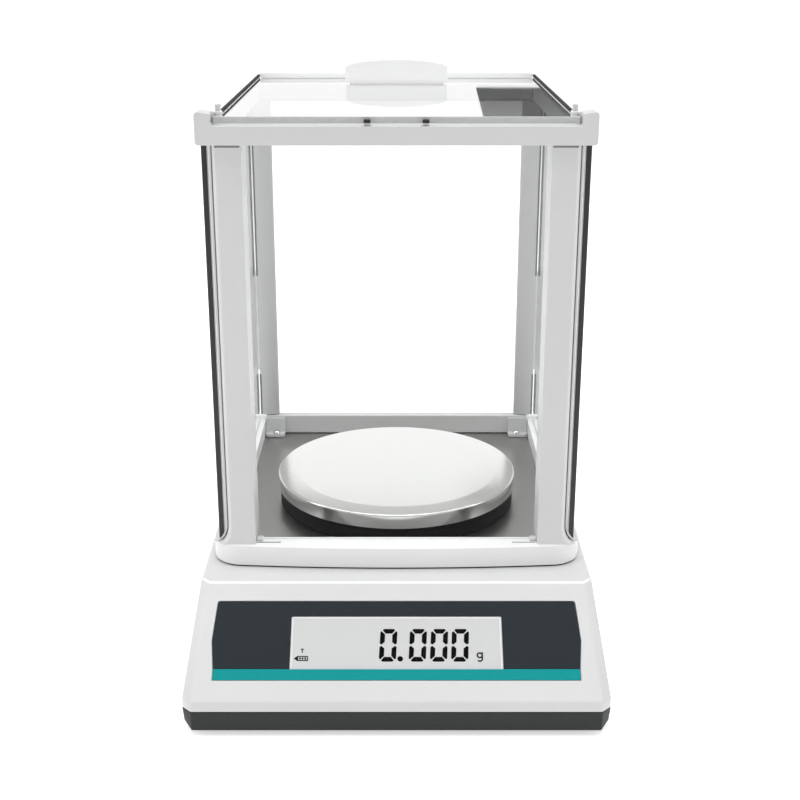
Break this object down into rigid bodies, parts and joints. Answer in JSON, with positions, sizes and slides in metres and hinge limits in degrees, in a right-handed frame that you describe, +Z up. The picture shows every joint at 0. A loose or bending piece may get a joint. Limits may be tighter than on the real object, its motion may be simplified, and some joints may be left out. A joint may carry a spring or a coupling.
{
  "type": "analytical balance",
  "caption": "Analytical balance with a glass draught shield: sliding side doors and lid, round steel pan, sloping display panel, adjustable feet.",
  "frame": {"origin": "on the table under the middle of the bounding box", "axes": "+Z up, +Y to the rear, +X to the right as the user sees it"},
  "size_m": [0.195, 0.2844, 0.2826],
  "materials": {
    "white_plastic": "fine textured, satin",
    "tray_grey": "satin moulded",
    "overlay_slate": "matt printed film",
    "stripe_teal": "satin printed film",
    "lcd_grey": "reflective liquid crystal panel",
    "lens": "clear acrylic window",
    "polished_steel": "polished stainless steel",
    "brushed_floor": "brushed stainless steel",
    "cast_metal": "fine cast, satin",
    "glass": "clear float glass with ground edges",
    "black_plastic": "matt moulded",
    "rubber": "matt",
    "circuit_board": "solder mask",
    "copper": "enamelled winding"
  },
  "bodies": {
    "base": {"upper_housing": "white_plastic", "chamber_collar": "white_plastic", "front_column_left": "white_plastic", "front_column_right": "white_plastic", "rear_column_left": "white_plastic", "rear_column_right": "white_plastic", "corner_bracket_left": "white_plastic", "corner_bracket_right": "white_plastic", "front_bar": "white_plastic", "side_rail_left": "white_plastic", "side_rail_right": "white_plastic", "rear_bar": "white_plastic", "rail_peg_left": "white_plastic", "rail_peg_right": "white_plastic", "bottom_tray": "tray_grey", "front_overlay": "overlay_slate", "accent_stripe": "stripe_teal", "lcd_module": "lcd_grey", "display_window": "lens", "level_vial": "lens", "bracket_screw_left": "polished_steel", "bracket_screw_right": "polished_steel", "magnet_pot": "polished_steel", "chamber_floor": "brushed_floor", "rear_rail": "cast_metal", "cell_block": "cast_metal", "front_glass": "glass", "rear_glass": "glass", "draft_ring": "black_plastic", "power_socket": "black_plastic", "serial_port": "black_plastic", "lid_bumper_left": "rubber", "lid_bumper_right": "rubber", "display_board": "circuit_board", "main_board": "circuit_board"},
    "door_left": {"door_glass_left": "glass", "door_handle_left": "white_plastic"},
    "door_right": {"door_glass_right": "glass", "door_handle_right": "white_plastic"},
    "lid": {"lid_glass": "glass", "lid_handle": "white_plastic", "lid_rear_strip": "white_plastic"},
    "receiver": {"load_receiver": "cast_metal"},
    "support": {"pan_support": "cast_metal"},
    "pan": {"weighing_pan": "polished_steel"},
    "upper_guide": {"upper_guide": "brushed_floor"},
    "lower_guide": {"lower_guide": "brushed_floor"},
    "beam": {"balance_beam": "cast_metal", "coil": "copper"},
    "pad_front_left": {"foot_pad_front_left": "rubber"},
    "wheel_front_left": {"foot_wheel_front_left": "black_plastic"},
    "pad_front_right": {"foot_pad_front_right": "rubber"},
    "wheel_front_right": {"foot_wheel_front_right": "black_plastic"},
    "pad_rear_left": {"foot_pad_rear_left": "rubber"},
    "wheel_rear_left": {"foot_wheel_rear_left": "black_plastic"},
    "pad_rear_right": {"foot_pad_rear_right": "rubber"},
    "wheel_rear_right": {"foot_wheel_rear_right": "black_plastic"}
  },
  "joints": [
    {"name": "door_slide_left", "type": "slide", "parent": "base", "child": "door_left", "axis": [0, 1, 0], "range_m": [0, 0.15]},
    {"name": "door_slide_right", "type": "slide", "parent": "base", "child": "door_right", "axis": [0, 1, 0], "range_m": [0, 0.15]},
    {"name": "lid_slide", "type": "slide", "parent": "base", "child": "lid", "axis": [0, 1, 0], "range_m": [0, 0.15]},
    {"name": "receiver_travel", "type": "slide", "parent": "base", "child": "receiver", "axis": [0, 0, 1], "range_m": [-0.0004, 0], "stiffness_N_per_m": 20000, "springref_m": 0.0004},
    {"name": "support_lift", "type": "slide", "parent": "receiver", "child": "support", "axis": [0, 0, 1], "range_m": [0, 0.06]},
    {"name": "pan_lift", "type": "slide", "parent": "support", "child": "pan", "axis": [0, 0, 1], "range_m": [0, 0.08]},
    {"name": "upper_guide_flex", "type": "hinge", "parent": "base", "child": "upper_guide", "pos_m": [0, 0.04306, 0.0412], "axis": [1, 0, 0], "range_deg": [-0.1, 0.8]},
    {"name": "lower_guide_flex", "type": "hinge", "parent": "base", "child": "lower_guide", "pos_m": [0, 0.04306, 0.0092], "axis": [1, 0, 0], "range_deg": [-0.1, 0.8]},
    {"name": "beam_tilt", "type": "hinge", "parent": "base", "child": "beam", "pos_m": [0, 0.04936, 0.0288], "axis": [1, 0, 0], "range_deg": [-0.1, 0.7]},
    {"name": "foot_lift_front_left", "type": "slide", "parent": "base", "child": "pad_front_left", "axis": [0, 0, 1], "range_m": [-0.004, 0]},
    {"name": "foot_turn_front_left", "type": "hinge", "parent": "pad_front_left", "child": "wheel_front_left", "pos_m": [-0.0735, -0.11217, 0.006], "axis": [0, 0, 1], "range_deg": [-1441, 1]},
    {"name": "foot_lift_front_right", "type": "slide", "parent": "base", "child": "pad_front_right", "axis": [0, 0, 1], "range_m": [-0.004, 0]},
    {"name": "foot_turn_front_right", "type": "hinge", "parent": "pad_front_right", "child": "wheel_front_right", "pos_m": [0.0735, -0.11217, 0.006], "axis": [0, 0, 1], "range_deg": [-1441, 1]},
    {"name": "foot_lift_rear_left", "type": "slide", "parent": "base", "child": "pad_rear_left", "axis": [0, 0, 1], "range_m": [-0.004, 0]},
    {"name": "foot_turn_rear_left", "type": "hinge", "parent": "pad_rear_left", "child": "wheel_rear_left", "pos_m": [-0.0735, 0.11217, 0.006], "axis": [0, 0, 1], "range_deg": [-1441, 1]},
    {"name": "foot_lift_rear_right", "type": "slide", "parent": "base", "child": "pad_rear_right", "axis": [0, 0, 1], "range_m": [-0.004, 0]},
    {"name": "foot_turn_rear_right", "type": "hinge", "parent": "pad_rear_right", "child": "wheel_rear_right", "pos_m": [0.0735, 0.11217, 0.006], "axis": [0, 0, 1], "range_deg": [-1441, 1]}
  ],
  "couplings": [
    {"joint": "upper_guide_flex", "follows": "receiver_travel", "rad_per_m": -30.96},
    {"joint": "lower_guide_flex", "follows": "receiver_travel", "rad_per_m": -30.96},
    {"joint": "beam_tilt", "follows": "receiver_travel", "rad_per_m": -25.907},
    {"joint": "foot_turn_front_left", "follows": "foot_lift_front_left", "rad_per_m": 6283.2},
    {"joint": "foot_turn_front_right", "follows": "foot_lift_front_right", "rad_per_m": 6283.2},
    {"joint": "foot_turn_rear_left", "follows": "foot_lift_rear_left", "rad_per_m": 6283.2},
    {"joint": "foot_turn_rear_right", "follows": "foot_lift_rear_right", "rad_per_m": 6283.2}
  ]
}
